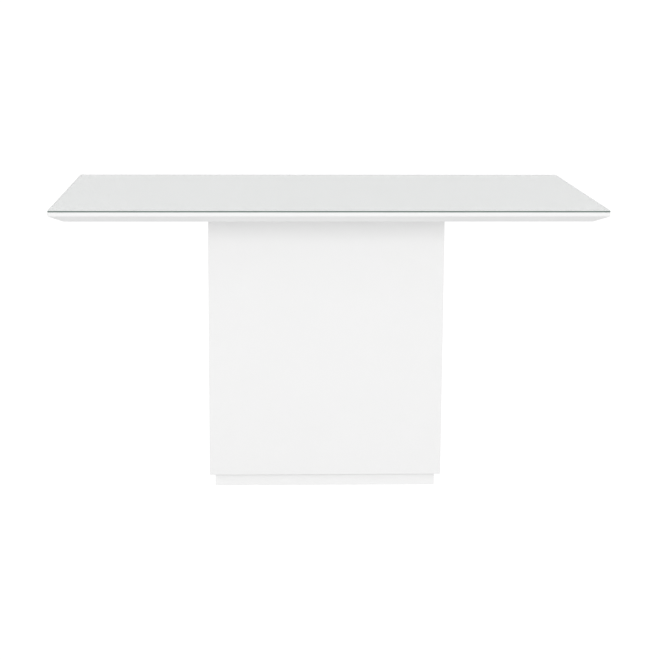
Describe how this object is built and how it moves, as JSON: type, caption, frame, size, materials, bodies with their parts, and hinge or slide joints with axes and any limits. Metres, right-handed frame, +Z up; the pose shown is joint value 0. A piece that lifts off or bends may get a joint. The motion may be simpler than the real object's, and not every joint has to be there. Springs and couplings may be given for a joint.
{
  "type": "pedestal dining table",
  "caption": "Rectangular dining table with a clear glass sheet over a white bevelled top, on a hollow white box pedestal with a recessed plinth.",
  "frame": {"origin": "on the floor, under the middle of the table top", "axes": "+X along the table's length, +Y from the front to the back, +Z up"},
  "size_m": [1.4, 0.8, 0.78],
  "materials": {
    "clear_glass": "clear float glass, ground arris",
    "silicone": "clear silicone",
    "white_lacquer": "white satin lacquer on fibreboard",
    "raw_fibreboard": "unfinished fibreboard",
    "beech": "unfinished beech",
    "zinc_steel": "bright zinc plating",
    "insert_brass": "plain brass",
    "glide_plastic": "black moulded plastic"
  },
  "bodies": {
    "root": {"glass_top": "clear_glass", "glass_dots": "silicone", "top_board": "white_lacquer", "edge_strip_front": "white_lacquer", "edge_strip_back": "white_lacquer", "edge_strip_left": "white_lacquer", "edge_strip_right": "white_lacquer", "batten_front": "white_lacquer", "batten_back": "white_lacquer", "pedestal_front_panel": "white_lacquer", "pedestal_back_panel": "white_lacquer", "pedestal_left_panel": "white_lacquer", "pedestal_right_panel": "white_lacquer", "plinth_front": "white_lacquer", "plinth_back": "white_lacquer", "plinth_left": "white_lacquer", "plinth_right": "white_lacquer", "mounting_pad": "raw_fibreboard", "pedestal_top_plate": "raw_fibreboard", "centre_divider": "raw_fibreboard", "panel_dowels": "beech", "plate_dowels": "beech", "divider_dowels": "beech", "plinth_dowels": "beech", "corner_block_front_left": "beech", "corner_block_front_right": "beech", "corner_block_back_left": "beech", "corner_block_back_right": "beech", "fixing_bolts": "zinc_steel", "fixing_washers": "zinc_steel", "plinth_screws": "zinc_steel", "glide_nails": "zinc_steel", "threaded_inserts": "insert_brass", "glide_pads": "glide_plastic"}
  },
  "joints": []
}
